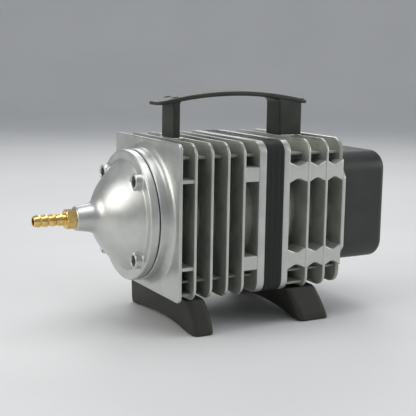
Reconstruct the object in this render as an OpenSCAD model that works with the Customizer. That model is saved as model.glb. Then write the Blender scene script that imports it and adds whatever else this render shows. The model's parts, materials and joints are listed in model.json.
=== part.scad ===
// Electromagnetic piston air pump for ponds and aquariums.
// Millimetres, +Z up. The pump's axis runs along X and its outlet nozzle points to -X.
// Stations along the axis count from the face of the front plate, and heights from the axis.

/* [Body] */
// Width of the finned body
body_w = 128; // [122:1:134]
// Height of the finned body
body_h = 130; // [126:1:134]
// Height of the pump's axis above the floor
axis_h = 95; // [92:1:100]
// Corner radius of the fins and flanges
corner_r = 11; // [6:1:14]
// Thickness of one cooling fin
fin_t = 2.5; // [2:0.1:3.5]
// Spacing of the front housing's fins
fin_pitch = 15.05; // [14.8:0.05:15.1]
// Outer radius of the housings' round barrel
barrel_r = 44; // [43:0.5:46]

/* [Outlet] */
// Reach of the nozzle's tip in front of the plate
nose_reach = 100; // [98:1:110]
// Radius over the barbs of the hose nozzle
barb_r = 5.2; // [4.8:0.1:6]
// Through bore radius of the nozzle
nozzle_bore_r = 3; // [2:0.1:3.5]
// Spanner size of the nozzle's hexagon
nozzle_af = 15; // [14:0.5:17]
// Radius of the round boss on the front plate
boss_r = 56; // [54:0.5:58]
// Radius of the outlet cover's flange
cover_r = 55.4; // [54.8:0.1:55.6]
// Distance of the cover screws from the axis
cover_screw_ring = 46.3; // [46:0.1:47]

/* [Cylinder and piston] */
// Bore radius of the cylinder
cyl_r = 27; // [26.5:0.1:27.2]
// Radial clearance of the piston rings in the cylinder
ring_gap = 0.05; // [0.02:0.01:0.1]
// Radius of the piston shaft
shaft_r = 5; // [4.5:0.1:5.5]
// Radial clearance of the shaft in its bush
bush_gap = 0.05; // [0.02:0.01:0.1]
// Lift of the discharge valve disc
discharge_lift = 1.4; // [0.8:0.1:2]
// Lift of the intake valve disc
intake_lift = 1.1; // [0.8:0.1:1.5]

/* [Magnet] */
// Thickness of the laminated stator stack
stack_t = 16; // [15:0.5:16]
// Radius of the armature
armature_r = 14.5; // [14:0.1:14.7]
// Width of one magnet pole
pole_w = 24; // [20:1:24]
// Wire radius of the return spring
spring_wire_r = 1.25; // [0.8:0.05:1.4]

/* [Rear cover] */
// Reach of the rear cover behind the plate
rear_reach = 213; // [210:1:220]
// Width of the rear cover
rear_cover_w = 116; // [112:1:116]
// Height of the rear cover
rear_cover_h = 98; // [94:1:102]
// Bore radius of the cord grommet
cord_r = 3.75; // [3:0.05:4.5]

/* [Handle and feet] */
// Width of the handle's strap
strap_w = 24; // [20:1:28]
// Thickness of the handle's strap
strap_t = 4; // [3.5:0.1:5]
// Height of the strap's crown above the axis
crown_z = 104; // [102:1:107]
// Width over the feet at the floor
foot_w = 128; // [124:1:140]
// Height of the arch under the front foot
front_arch_h = 6; // [4:1:9]
// Height of the arch under the rear foot
rear_arch_h = 9; // [5:1:11]

/* [Hidden] */
$fn = 96;
eps = 0.01;
slip = 0.05;                                // clearance between fixed pieces that nest
stop_gap = 0.1;                             // left between a lifted valve disc and its keeper

// Stations
face_x = (nose_reach - rear_reach) / 2;     // puts the origin under the middle of the pump
plate_t = 3;
flange_x = 74.3;
flange_t = 7.2;
gasket_t = 0.5;
stack_x = flange_x + flange_t + gasket_t;
rear_x = stack_x + stack_t + gasket_t;
rear_flange_t = 6.5;
end_x = 159.9;
end_t = 3.8;
end_inset = 6;
back_x = end_x + end_t;
rear_fins = [123.2, 141.8];
coil_room_r = 49.5;
coil_wall_r = 54;
coil_room_front = 66;
coil_room_back = 112;
barrel_bore = 40;

// Outlet end
boss_x = -12;
seat_x = -5;
head_plate_t = 5;
head_gasket_t = 1;
head_x = seat_x - head_gasket_t - head_plate_t;
head_r = 41;
head_screw_ring = 36.8;
liner_r = 30.5;
liner_flange_r = 33.5;
cover_x = boss_x - 1;
lug_r = 6.8;
lug_x = -26.5;
lug_well_r = 4.4;
cover_seat_x = -18.5;
spout_x = -65;
hex_x = spout_x - 8;
thread_r = 6.35;
thread_l = 9;
barbs = 4;
barb_pitch = 6.2;
barb_cone = 3.9;
barb_land = 1.4;

// Moving group
crown_x = 5;
crown_t = 6;
piston_r = cyl_r - 0.4;
piston_l = 20;
armature_x = 73;
armature_l = 24;
spring_seat_t = 2.5;
spring_r = 12;
bush_x = 130;
bush_l = 16;
bush_r = 8;
shaft_end = 142;
disc_t = 0.8;
discharge_keeper_x = head_x - disc_t - discharge_lift - stop_gap;
intake_keeper_x = crown_x - disc_t - intake_lift - stop_gap;
keeper_t = 1.5;
// Depth of the recess in each keeper and wire radius of the spring that folds flat into it
spring_recess = 0.6;
valve_wire_r = 0.25;

// Fastener layout
tie_y = 53.5;
tie_z = 37.5;
tie_r = 2.5;
lead_y = 12;
lead_z = 29;
cover_z = 2.5;
rear_screw_y = 44;
rear_screw_dz = 31;
foot_screw_y = 38;
handle_screw_y = 7;
front_post = [20, 27];
rear_post = [126.5, 150.5];
front_foot_screw_x = 22;
rear_foot_screw_x = 133.5;

function bezier(a, b, c, n = 10) =
    [for (i = [0:n]) let (t = i / n) (1 - t) * (1 - t) * a + 2 * t * (1 - t) * b + t * t * c];

function arc(c, r, a0, a1, n = 16) =
    [for (i = [0:n]) let (a = a0 + (a1 - a0) * i / n) c + r * [cos(a), sin(a)]];

// Everything is drawn about the pump's axis and then lifted to its height
module placed() translate([face_x, 0, axis_h]) children();

// Solid of revolution about the axis, from an outline of [radius, station] points
module turned(outline) rotate([0, 90, 0]) rotate_extrude() polygon(outline);

module rod(x0, x1, r) translate([x0, 0, 0]) rotate([0, 90, 0]) cylinder(h = x1 - x0, r = r);

module ring(x0, x1, r0, r1) difference() {
    rod(x0, x1, r1);
    rod(x0 - 1, x1 + 1, r0);
}

// A flat outline in Y and Z, made t thick towards +X
module sheet(x0, t) translate([x0, 0, 0]) rotate([90, 0, 90]) linear_extrude(t) children();

// An outline in X and Z, made w wide about the middle plane
module side(w) translate([0, w / 2, 0]) rotate([90, 0, 0]) linear_extrude(w) children();

module rounded(w, h, r) {
    square([w - 2 * r, h], center = true);
    square([w, h - 2 * r], center = true);
    for (sy = [-1, 1], sz = [-1, 1]) {
        translate([sy * (w / 2 - r), sz * (h / 2 - r)]) circle(r, $fn = 48);
    }
}

module at_corners(y, z) for (sy = [-1, 1], sz = [-1, 1]) translate([0, sy * y, sz * z]) children();

// Screw along +X with its head behind x = 0 and a cross recess in the head
module screw(r, length, head_r, head_h) difference() {
    union() {
        rod(-0.5, length, r);
        rod(-head_h, 0, head_r);
    }
    for (a = [0, 90]) rotate([a, 0, 0]) {
        translate([-head_h, 0, 0]) cube([2 * head_h * 0.6, head_r * 1.3, head_r * 0.3], center = true);
    }
}

// Helical wire about the axis as one closed surface, from radius r0 at x0 to r1 at x1
function coil_ring(i, n, x0, x1, r0, r1, turns, wire, sides) =
    let (t = i / n, a = 360 * turns * t, x = x0 + wire + (x1 - x0 - 2 * wire) * t)
    [for (k = [0:sides - 1]) let (b = 360 * k / sides, q = r0 + (r1 - r0) * t + wire * cos(b))
        [x + wire * sin(b), q * cos(a), q * sin(a)]];

module coil(x0, x1, r0, r1, turns, wire, steps, sides) {
    n = ceil(turns * steps);
    points = [for (i = [0:n]) each coil_ring(i, n, x0, x1, r0, r1, turns, wire, sides)];
    walls = [for (i = [0:n - 1], k = [0:sides - 1]) let (m = (k + 1) % sides)
        [i * sides + k, i * sides + m, (i + 1) * sides + m, (i + 1) * sides + k]];
    first = [for (k = [0:sides - 1]) sides - 1 - k];
    last = [for (k = [0:sides - 1]) n * sides + k];
    polyhedron(points, concat([first], walls, [last]), convexity = 10);
}

// ---------------------------------------------------------------- outlet end

module outlet_nozzle() color("goldenrod") placed() difference() {
    union() {
        turned(concat(
            [[0, -nose_reach]],
            [for (k = [0:barbs - 1]) let (x = -nose_reach + k * barb_pitch) each [
                [barb_r - 0.9, x], [barb_r, x + barb_cone], [barb_r, x + barb_cone + barb_land]]],
            [[barb_r - 0.6, hex_x - 1.8], [barb_r - 0.6, hex_x], [0, hex_x]]));
        translate([hex_x - eps, 0, 0]) rotate([0, 90, 0]) {
            cylinder(h = spout_x - hex_x, r = nozzle_af / 2 / cos(30), $fn = 6);
        }
        rod(spout_x - 1, spout_x + thread_l, thread_r);
    }
    rod(-nose_reach - 1, spout_x + thread_l + 1, nozzle_bore_r);
}

// Outline of the bell-shaped cover: spout, flare, dome and flange, then back along the inside
cover_outline = concat(
    [[thread_r + slip, spout_x], [9, spout_x], [10, spout_x + 1], [11.7, -54]],
    bezier([12, -52.5], [12.8, -47.8], [18.5, -44.6]),
    bezier([18.9, -44.4], [33.5, -37.4], [47, -20], 16),
    [[cover_r - 1.5, -20], [cover_r, -18.5], [cover_r, cover_x], [40, cover_x]],
    bezier([40, -18], [33, -34.5], [17.5, -40.5]),
    [[8, -46], [8, -53], [thread_r + slip, -53]]);

module lugs(x0, x1, r) at_corners(cover_screw_ring * sin(45), cover_screw_ring * cos(45)) {
    rod(x0, x1, r);
}

module outlet_cover() color("silver") placed() difference() {
    union() {
        turned(cover_outline);
        difference() {
            lugs(lug_x, cover_x, lug_r);
            rod(lug_x - 1, cover_x + 1, 40.5);
        }
    }
    lugs(-44, cover_seat_x, lug_well_r);
    lugs(cover_seat_x - 1, cover_x + 1, 2.2);
}

module cover_screws() color("gainsboro") placed() {
    at_corners(cover_screw_ring * sin(45), cover_screw_ring * cos(45)) {
        translate([cover_seat_x, 0, 0]) screw(2, 15, 3.6, 2.8);
    }
}

module cover_gasket() color("black") placed() difference() {
    rod(cover_x, boss_x, cover_r - 0.5);
    rod(cover_x - 1, boss_x + 1, 42);
    lugs(cover_x - 1, boss_x + 1, 2.2);
}

module valve_plate() color("lightsteelblue") placed() difference() {
    rod(head_x, head_x + head_plate_t, head_r);
    for (a = [30:60:330]) rotate([a, 0, 0]) translate([0, 9.5, 0]) {
        rod(head_x - 1, head_x + head_plate_t + 1, 2.8);
    }
    for (a = [0:90:270]) rotate([a, 0, 0]) translate([0, head_screw_ring, 0]) {
        rod(head_x - 1, head_x + head_plate_t + 1, 1.7);
    }
    rod(head_x - 1, head_x + head_plate_t + 1, 2.5 + slip);
}

module head_screws() color("gainsboro") placed() {
    for (a = [0:90:270]) rotate([a, 0, 0]) translate([head_x, head_screw_ring, 0]) {
        screw(1.5, 13, 2.5, 1.8);
    }
}

module head_gasket() color("dimgray") placed() difference() {
    ring(seat_x - head_gasket_t, seat_x, cyl_r + 0.3, head_r);
    for (a = [0:90:270]) rotate([a, 0, 0]) translate([0, head_screw_ring, 0]) {
        rod(seat_x - 2, seat_x + 1, 1.7);
    }
}

module discharge_valve() color("whitesmoke") placed() ring(head_x - disc_t, head_x, 3.58, 14);

// Conical spring that lies flat in the keeper's recess when the valve is open
module discharge_spring() color("lightgray") placed() {
    coil(discharge_keeper_x - spring_recess, head_x - disc_t, 9.6, 6.4, 2, valve_wire_r, 22, 6);
}

module discharge_keeper() color("lightsteelblue") placed() difference() {
    union() {
        rod(discharge_keeper_x, head_x, 3.5);
        rod(discharge_keeper_x - keeper_t, discharge_keeper_x, 12);
    }
    rod(head_x - 10, head_x + 1, 2.5 + slip);
    ring(discharge_keeper_x - spring_recess, discharge_keeper_x + eps, 5, 10.4);
}

module discharge_stud() color("gainsboro") placed() {
    translate([discharge_keeper_x - keeper_t, 0, 0]) {
        screw(2.5, head_x + head_plate_t - 0.5 - discharge_keeper_x + keeper_t, 4.2, 3);
    }
}

// ---------------------------------------------------------------- front housing

module outline(r = corner_r) rounded(body_w, body_h, r);

module front_fins() for (k = [1:4]) sheet(k * fin_pitch - fin_t / 2, fin_t) outline();

// Thin webs that tie the fins together near the corners
module corner_webs(x0, x1) for (sy = [-1, 1], z = [52.5, -49.5]) {
    translate([x0, sy * 42.75 - 11.25, z - 1]) cube([x1 - x0, 22.5, 2]);
}

// Level web near the bottom edge, above a foot
module foot_web(x0, x1) translate([x0, -58, -61]) cube([x1 - x0, 116, 2.5]);

module front_housing() color("silver") placed() difference() {
    union() {
        sheet(0, plate_t) outline(5);
        turned(concat([[0, boss_x]], [[boss_r - 1, boss_x], [boss_r, boss_x + 1]],
            arc([boss_r + 6, -6], 6, 180, 90, 8), [[0, 0.5]]));
        front_fins();
        rod(plate_t - 1, coil_room_front + 1, barrel_r);
        rod(coil_room_front - 3, flange_x + 1, coil_wall_r);
        sheet(flange_x, flange_t) outline();
        corner_webs(plate_t - 1, flange_x + 1);
        foot_web(plate_t - 1, fin_pitch);
        // short webs between the plate and the first fin
        for (sy = [-1, 1], z = [34.5, -37]) {
            translate([plate_t - 1, sy > 0 ? 24 : -63, z - 1.5]) cube([fin_pitch - plate_t + 2, 39, 3]);
        }
        // blocks that take the tie bolts
        at_corners(52, tie_z) translate([4 * fin_pitch, -11.5, -6.2]) {
            cube([flange_x + 1 - 4 * fin_pitch, 23, 12.4]);
        }
        // landings for the handle and the front foot
        translate([(front_post[0] + front_post[1]) / 2, 0, 35]) {
            translate([-6, -13, 0]) cube([12, 26, body_h / 2 - 35]);
        }
        for (sy = [-1, 1]) translate([front_foot_screw_x, sy * foot_screw_y, -body_h / 2]) {
            cylinder(h = 45, r = 6.5);
        }
    }
    rod(boss_x - 1, seat_x, head_r + 0.3);
    rod(seat_x - 1, 0, liner_flange_r + slip);
    rod(-1, flange_x + flange_t + 1, liner_r + slip);
    rod(coil_room_front, flange_x + flange_t + 1, coil_room_r);
    lugs(boss_x - 1, 1.5, 2 + slip);
    for (a = [0:90:270]) rotate([a, 0, 0]) translate([0, head_screw_ring, 0]) {
        rod(seat_x - 1, 4, 1.5 + slip);
    }
    at_corners(tie_y, tie_z) rod(4 * fin_pitch + 5, flange_x + flange_t + 1, tie_r + slip);
    for (sy = [-1, 1]) translate([(front_post[0] + front_post[1]) / 2, sy * handle_screw_y, 50]) {
        cylinder(h = 20, r = 2 + slip);
    }
    for (sy = [-1, 1]) translate([front_foot_screw_x, sy * foot_screw_y, -body_h / 2 - 1]) {
        cylinder(h = 15, r = 2.5 + slip);
    }
}

module cylinder_liner() color("slategray") placed() difference() {
    union() {
        rod(seat_x, -slip, liner_flange_r);
        rod(seat_x, 52, liner_r);
    }
    rod(seat_x - 1, 53, cyl_r);
}

// ---------------------------------------------------------------- moving group

module piston() color("gainsboro") placed() difference() {
    rod(crown_x, crown_x + piston_l, piston_r);
    rod(crown_x + crown_t, crown_x + piston_l + 1, 21.5);
    for (x = [2, 13]) translate([crown_x + x, 0, 0]) ring(0, 3, 24.2, piston_r + 1);
    for (a = [0:60:300]) rotate([a, 0, 0]) translate([0, 13, 0]) {
        rod(crown_x - 1, crown_x + crown_t + 1, 2.6);
    }
    rod(crown_x - 1, crown_x + crown_t + 1, 3 + slip);
}

module piston_rings() color("saddlebrown") placed() {
    for (x = [2, 13]) ring(crown_x + x + slip, crown_x + x + 3 - slip, 24.3, cyl_r - ring_gap);
}

module intake_valve() color("whitesmoke") placed() ring(crown_x - disc_t, crown_x, 7.98, 18);

module intake_spring() color("lightgray") placed() {
    coil(intake_keeper_x - spring_recess, crown_x - disc_t, 11.9, 9.7, 2, valve_wire_r, 24, 6);
}

module intake_keeper() color("lightsteelblue") placed() difference() {
    union() {
        rod(intake_keeper_x, crown_x, 7.9);
        rod(intake_keeper_x - keeper_t, intake_keeper_x, 14);
    }
    rod(crown_x - 10, crown_x + 1, 3 + slip);
    ring(intake_keeper_x - spring_recess, intake_keeper_x + eps, 9, 12.6);
}

module piston_bolt() color("dimgray") placed() {
    translate([intake_keeper_x - keeper_t, 0, 0]) {
        screw(3, crown_x + crown_t + 12 - intake_keeper_x + keeper_t, 5, 3);
    }
}

module piston_shaft() color("lightgray") placed() difference() {
    union() {
        rod(crown_x + crown_t, shaft_end, shaft_r);
        rod(armature_x - 4, armature_x, shaft_r + 2);
    }
    rod(crown_x + crown_t - 1, crown_x + crown_t + 14, 3 + slip);
}

module armature() color("dimgray") placed() {
    ring(armature_x, armature_x + armature_l, shaft_r + slip, armature_r);
}

module spring_seat() color("gainsboro") placed() {
    x = armature_x + armature_l;
    ring(x, x + spring_seat_t, shaft_r + slip, 14);
}

module armature_nut() color("gainsboro") placed() difference() {
    x = armature_x + armature_l + spring_seat_t;
    translate([x, 0, 0]) rotate([0, 90, 0]) cylinder(h = 6, r = 8.2, $fn = 6);
    rod(x - 1, x + 7, shaft_r + slip);
}

module return_spring() color("dimgray") placed() {
    coil(armature_x + armature_l + spring_seat_t, bush_x, spring_r, spring_r, 6, spring_wire_r, 24, 8);
}

module guide_bush() color("peru") placed() ring(bush_x, bush_x + bush_l, shaft_r + bush_gap, bush_r);

// ---------------------------------------------------------------- magnet

module stator_core() color("darkslategray") placed() difference() {
    union() {
        difference() {
            sheet(stack_x, stack_t) outline();
            sheet(stack_x - 1, stack_t + 2) rounded(84, 84, 8);
        }
        for (s = [-1, 1]) translate([stack_x, -pole_w / 2, s > 0 ? 5 : -43]) {
            cube([stack_t, pole_w, 38]);
        }
    }
    rod(stack_x - 1, stack_x + stack_t + 1, armature_r + 0.8);
    at_corners(tie_y, tie_z) rod(stack_x - 1, stack_x + stack_t + 1, tie_r + slip);
}

bobbin_wall = 1;
bobbin_low = 17;
bobbin_high = 41;
winding_t = 9;

module spool_ring(z0, z1, grow0, grow1) translate([stack_x + stack_t / 2, 0, z0]) difference() {
    linear_extrude(z1 - z0) rounded(stack_t + 2 * grow1, pole_w + 2 * grow1, min(3, grow1));
    translate([0, 0, -1]) linear_extrude(z1 - z0 + 2) {
        square([stack_t + 2 * grow0, pole_w + 2 * grow0], center = true);
    }
}

module bobbin() {
    spool_ring(bobbin_low, bobbin_high, 0.1, bobbin_wall);
    spool_ring(bobbin_low, bobbin_low + 1.2, 0.1, winding_t + bobbin_wall + 1);
    spool_ring(bobbin_high - 1.2, bobbin_high, 0.1, winding_t + bobbin_wall + 1);
}

module winding() {
    spool_ring(bobbin_low + 1.2, bobbin_high - 1.2, bobbin_wall + slip, bobbin_wall + winding_t);
}

module upper_bobbin() color("ivory") placed() bobbin();

module lower_bobbin() color("ivory") placed() mirror([0, 0, 1]) bobbin();

module upper_coil() color("chocolate") placed() winding();

module lower_coil() color("chocolate") placed() mirror([0, 0, 1]) winding();

coil_back = stack_x + stack_t + bobbin_wall + winding_t;

module coil_leads() color("firebrick") placed() {
    for (sy = [-1, 1]) translate([0, sy * lead_y, lead_z]) rod(coil_back, 138, 1.1);
}

// The two leads that join the windings in parallel, one on each side
module coil_links() color("firebrick") placed() for (sy = [0, 1]) mirror([0, sy, 0]) {
    y = pole_w / 2 + bobbin_wall + winding_t;
    x = stack_x + stack_t - 3;
    translate([x, y + 4, -28]) cylinder(h = 56, r = 1.1);
    for (s = [-1, 1]) translate([x, y, s * 28]) {
        rotate([-90, 0, 0]) cylinder(h = 4, r = 1.1);
        translate([0, 4, 0]) sphere(1.1, $fn = 24);
    }
}

module terminal_block() color("ivory") placed() difference() {
    translate([138, -15, 22]) cube([10, 30, 12]);
    for (y = [-lead_y, 0, lead_y]) translate([143, y, 30]) cylinder(h = 5, r = 2);
}

// ---------------------------------------------------------------- rear housing

module body_gasket(x) sheet(x, gasket_t) difference() {
    outline();
    circle(coil_room_r + 0.5);
    for (sy = [-1, 1], sz = [-1, 1]) translate([sy * tie_y, sz * tie_z]) circle(tie_r + slip);
}

module front_gasket() color("black") placed() body_gasket(flange_x + flange_t);

module rear_gasket() color("black") placed() body_gasket(stack_x + stack_t);

// One bay of a bolt column, waisted in the middle where it is cut back between two walls
module column_bay(x0, x1) {
    waist = 5.5;
    wide = 9.5;
    flare = (x1 - x0) * 0.42;
    for (sy = [-1, 1]) translate([0, sy * 53, 0]) side(21) polygon([
        [x0, -wide], [x0 + flare, -waist], [x1 - flare, -waist], [x1, -wide],
        [x1, wide], [x1 - flare, waist], [x0 + flare, waist], [x0, wide]]);
}

// The end plate is narrower above and below the rear cover's bolt columns
module end_outline() {
    wide = body_w / 2;
    narrow = wide - end_inset;
    rounded(2 * narrow, body_h, corner_r);
    polygon([[wide, 31], [narrow, 40], [-narrow, 40], [-wide, 31],
        [-wide, -31], [-narrow, -40], [narrow, -40], [wide, -31]]);
}

module rear_housing() color("silver") placed() difference() {
    union() {
        sheet(rear_x, rear_flange_t) outline();
        rod(rear_x + 1, coil_room_back + 2, coil_wall_r);
        rod(coil_room_back, end_x + 1, barrel_r);
        for (x = rear_fins) sheet(x, fin_t) outline();
        sheet(end_x, end_t) end_outline();
        for (sz = [-1, 1]) translate([0, 0, sz * tie_z]) {
            column_bay(rear_x + rear_flange_t - eps, rear_fins[0] + eps);
            column_bay(rear_fins[0] + fin_t - eps, rear_fins[1] + eps);
            column_bay(rear_fins[1] + fin_t - eps, end_x + eps);
        }
        corner_webs(rear_x + 1, end_x + 1);
        foot_web(rear_x + 1, rear_fins[0] + 1);
        // landings for the handle and the rear foot
        translate([rear_post[0], -13, 35]) {
            cube([rear_post[1] - rear_post[0], 26, body_h / 2 - 35]);
        }
        for (sy = [-1, 1]) translate([rear_foot_screw_x, sy * foot_screw_y, -body_h / 2]) {
            cylinder(h = 45, r = 6.5);
        }
    }
    difference() {
        union() {
            rod(rear_x - 1, coil_room_back, coil_room_r);
            rod(coil_room_back - 1, back_x + 1, barrel_bore);
        }
        // web and hub that carry the guide bush
        rod(134, 138, barrel_bore + 1);
        rod(bush_x, bush_x + bush_l, 15);
    }
    for (a = [0:60:300]) rotate([a, 0, 0]) translate([0, 27.5, 0]) rod(133, 139, 8.5);
    rod(bush_x - 1, bush_x + bush_l + 1, bush_r + slip);
    at_corners(tie_y, tie_z) {
        rod(rear_x - 1, back_x + 1, tie_r + slip);
        rod(end_x - 0.2, back_x + 1, 5.2);
    }
    translate([0, 0, cover_z]) at_corners(rear_screw_y, rear_screw_dz) rod(end_x - 1, back_x + 1, 2 + slip);
    for (sy = [-1, 1]) translate([(rear_post[0] + rear_post[1]) / 2, sy * handle_screw_y, 50]) {
        cylinder(h = 20, r = 2 + slip);
    }
    for (sy = [-1, 1]) translate([rear_foot_screw_x, sy * foot_screw_y, -body_h / 2 - 1]) {
        cylinder(h = 15, r = 2.5 + slip);
    }
}

module tie_bolts() color("dimgray") placed() at_corners(tie_y, tie_z) {
    difference() {
        union() {
            rod(4 * fin_pitch + 6, end_x + 1, tie_r);
            rod(end_x + 0.8, back_x - 0.4, 4.3);
        }
        translate([end_x + 2.4, 0, 0]) rotate([0, 90, 0]) cylinder(h = 4, r = 2.3, $fn = 6);
    }
}

module tie_washers() color("gainsboro") placed() at_corners(tie_y, tie_z) {
    ring(end_x - 0.2, end_x + 0.8, tie_r + slip, 5);
}

// ---------------------------------------------------------------- rear cover

retainer_t = 2;
pad_x = back_x + 0.3 + retainer_t;
pad_t = 18;

module filter_retainer() color("darkslategray") placed() difference() {
    translate([0, 0, cover_z]) sheet(back_x + 0.3, retainer_t) rounded(96, 72, 8);
    translate([back_x, 0, cover_z]) for (y = [-30:10:30]) {
        translate([-1, y - 3, -26]) cube([5, 6, 52]);
    }
    translate([0, 0, cover_z]) at_corners(rear_screw_y, rear_screw_dz) rod(back_x, back_x + 4, 5.6);
}

module filter_pad() color("dimgray") placed() difference() {
    translate([0, 0, cover_z]) sheet(pad_x, pad_t) rounded(94, 70, 8);
    translate([0, 0, cover_z]) at_corners(rear_screw_y, rear_screw_dz) rod(back_x, pad_x + 20, 5.8);
}

// Rounded tub, open at its front end
module tub(x0, x1, w, h, r, round_r) translate([0, 0, cover_z]) hull() {
    at_corners(w / 2 - r, h / 2 - r) rod(x0, x1 - round_r, r, $fn = 32);
    at_corners(w / 2 - r, h / 2 - r) translate([x1 - round_r, 0, 0]) rotate([0, 90, 0]) {
        rotate_extrude($fn = 32) polygon(concat([[0, 0]],
            [for (a = [0:15:90]) [r - round_r + round_r * cos(a), round_r * sin(a)]], [[0, round_r]]));
    }
}

grommet_z = -25;

module rear_cover() color("dimgray") placed() difference() {
    union() {
        difference() {
            tub(back_x, rear_reach, rear_cover_w, rear_cover_h, 17, 7);
            tub(back_x - 1, rear_reach - 3, rear_cover_w - 6, rear_cover_h - 6, 14, 5);
        }
        translate([0, 0, cover_z]) at_corners(rear_screw_y, rear_screw_dz) rod(back_x, rear_reach - 2, 5.3);
        translate([0, 0, grommet_z]) rod(rear_reach - 7, rear_reach - 1, 10);
    }
    for (y = [-30:7.5:30]) translate([rear_reach - 5, y - 1.75, cover_z - 12]) cube([10, 3.5, 42]);
    translate([0, 0, cover_z]) at_corners(rear_screw_y, rear_screw_dz) {
        rod(back_x - 1, rear_reach + 1, 2.2);
        rod(rear_reach - 8, rear_reach + 1, 4);
    }
    translate([0, 0, grommet_z]) {
        rod(rear_reach - 9, rear_reach + 1, 6 + slip);
        rod(rear_reach - 2, rear_reach + 1, 8.2);
    }
}

module rear_cover_screws() color("gainsboro") placed() translate([0, 0, cover_z]) {
    at_corners(rear_screw_y, rear_screw_dz) translate([rear_reach - 8, 0, 0]) mirror([1, 0, 0]) {
        screw(2, rear_reach - 8 - end_x - 0.5, 3.6, 2.8);
    }
}

module cord_grommet() color("black") placed() translate([0, 0, grommet_z]) difference() {
    union() {
        rod(rear_reach - 12, rear_reach - 1, 6);
        rod(rear_reach - 2, rear_reach, 8);
    }
    rod(rear_reach - 13, rear_reach + 1, cord_r);
}

// ---------------------------------------------------------------- handle and feet

strap_ends = [6, 158];
strap_mid = (strap_ends[0] + strap_ends[1]) / 2;
strap_half = (strap_ends[1] - strap_ends[0]) / 2;
strap_drop = 8.8;
strap_r = (strap_half * strap_half + strap_drop * strap_drop) / (2 * strap_drop);
strap_a = asin(strap_half / strap_r);
strap_c = [strap_mid, crown_z - strap_r];

module strap_outline() polygon(concat(
    arc(strap_c, strap_r, 90 + strap_a, 90 - strap_a, 24),
    arc(strap_c, strap_r - strap_t, 90 - strap_a, 90 + strap_a, 24)));

module post(x0, x1) intersection() {
    side(strap_w) translate([x0, body_h / 2]) square([x1 - x0, crown_z - body_h / 2]);
    side(strap_w + 2) translate(strap_c) circle(strap_r - 1, $fn = 360);
}

// Height of the top of the strap at station x
function strap_top(x) = strap_c[1] + sqrt(strap_r * strap_r - (x - strap_mid) * (x - strap_mid));

handle_screw_x = [(front_post[0] + front_post[1]) / 2, (rear_post[0] + rear_post[1]) / 2];

module handle() color("darkslategray") placed() difference() {
    union() {
        side(strap_w) strap_outline();
        post(front_post[0], front_post[1]);
        post(rear_post[0], rear_post[1]);
    }
    for (x = handle_screw_x, sy = [-1, 1]) translate([x, sy * handle_screw_y, 0]) {
        translate([0, 0, body_h / 2 - 1]) cylinder(h = 50, r = 2.2);
        translate([0, 0, strap_top(x) - 3.4]) cylinder(h = 10, r = 3.4);
    }
}

module handle_screws() color("dimgray") placed() {
    for (x = handle_screw_x, sy = [-1, 1]) {
        translate([x, sy * handle_screw_y, strap_top(x) - 3.4]) rotate([0, 90, 0]) {
            screw(2, strap_top(x) - 3.4 - 51, 3.1, 2.4);
        }
    }
}

arch_half = foot_w / 2 - 8;
foot_top_w = foot_w - 12;

// A foot is the block common to its front outline and its side outline
module foot(side_points, screw_x, arch_h) difference() {
    arch_r = (arch_half * arch_half + arch_h * arch_h) / (2 * arch_h);
    arch_a = asin(arch_half / arch_r);
    intersection() {
        sheet(side_points[0][0] - 20, 90) polygon(concat(
            [[-foot_w / 2, -axis_h], [-foot_w / 2, -axis_h + 5], [-foot_top_w / 2, -body_h / 2],
             [foot_top_w / 2, -body_h / 2], [foot_w / 2, -axis_h + 5], [foot_w / 2, -axis_h]],
            arc([0, -axis_h + arch_h - arch_r], arch_r, 90 - arch_a, 90 + arch_a, 24)));
        side(foot_w + 2) polygon(side_points);
    }
    for (sy = [-1, 1]) translate([screw_x, sy * foot_screw_y, -axis_h - 1]) {
        cylinder(h = 40, r = 2.7);
        cylinder(h = 1 + axis_h - body_h / 2 - 12, r = 5);
    }
}

module front_foot() color("darkslategray") placed() foot(concat(
    [[11, -body_h / 2], [28, -body_h / 2]],
    bezier([28, -body_h / 2], [33.5, -73], [34.5, -axis_h], 6), [[15, -axis_h]]),
    front_foot_screw_x, front_arch_h);

module rear_foot() color("darkslategray") placed() foot(concat(
    [[108, -body_h / 2], [139, -body_h / 2]],
    bezier([139, -body_h / 2], [147, -75], [151, -axis_h], 6),
    bezier([120.5, -axis_h], [116, -76], [108, -body_h / 2], 6)),
    rear_foot_screw_x, rear_arch_h);

module foot_screws() color("dimgray") placed() {
    for (x = [front_foot_screw_x, rear_foot_screw_x], sy = [-1, 1]) {
        translate([x, sy * foot_screw_y, -body_h / 2 - 12]) rotate([0, -90, 0]) screw(2.5, 24, 4.5, 3);
    }
}

outlet_nozzle();
outlet_cover();
cover_screws();
cover_gasket();
valve_plate();
head_screws();
head_gasket();
discharge_valve();
discharge_spring();
discharge_keeper();
discharge_stud();
front_housing();
cylinder_liner();
piston();
piston_rings();
intake_valve();
intake_spring();
intake_keeper();
piston_bolt();
piston_shaft();
armature();
spring_seat();
armature_nut();
return_spring();
guide_bush();
stator_core();
upper_bobbin();
lower_bobbin();
upper_coil();
lower_coil();
coil_leads();
coil_links();
terminal_block();
front_gasket();
rear_gasket();
rear_housing();
tie_bolts();
tie_washers();
filter_retainer();
filter_pad();
rear_cover();
rear_cover_screws();
cord_grommet();
handle();
handle_screws();
front_foot();
rear_foot();
foot_screws();
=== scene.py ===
import json
import math

import bmesh
import bpy
from mathutils import Matrix, Vector


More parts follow.
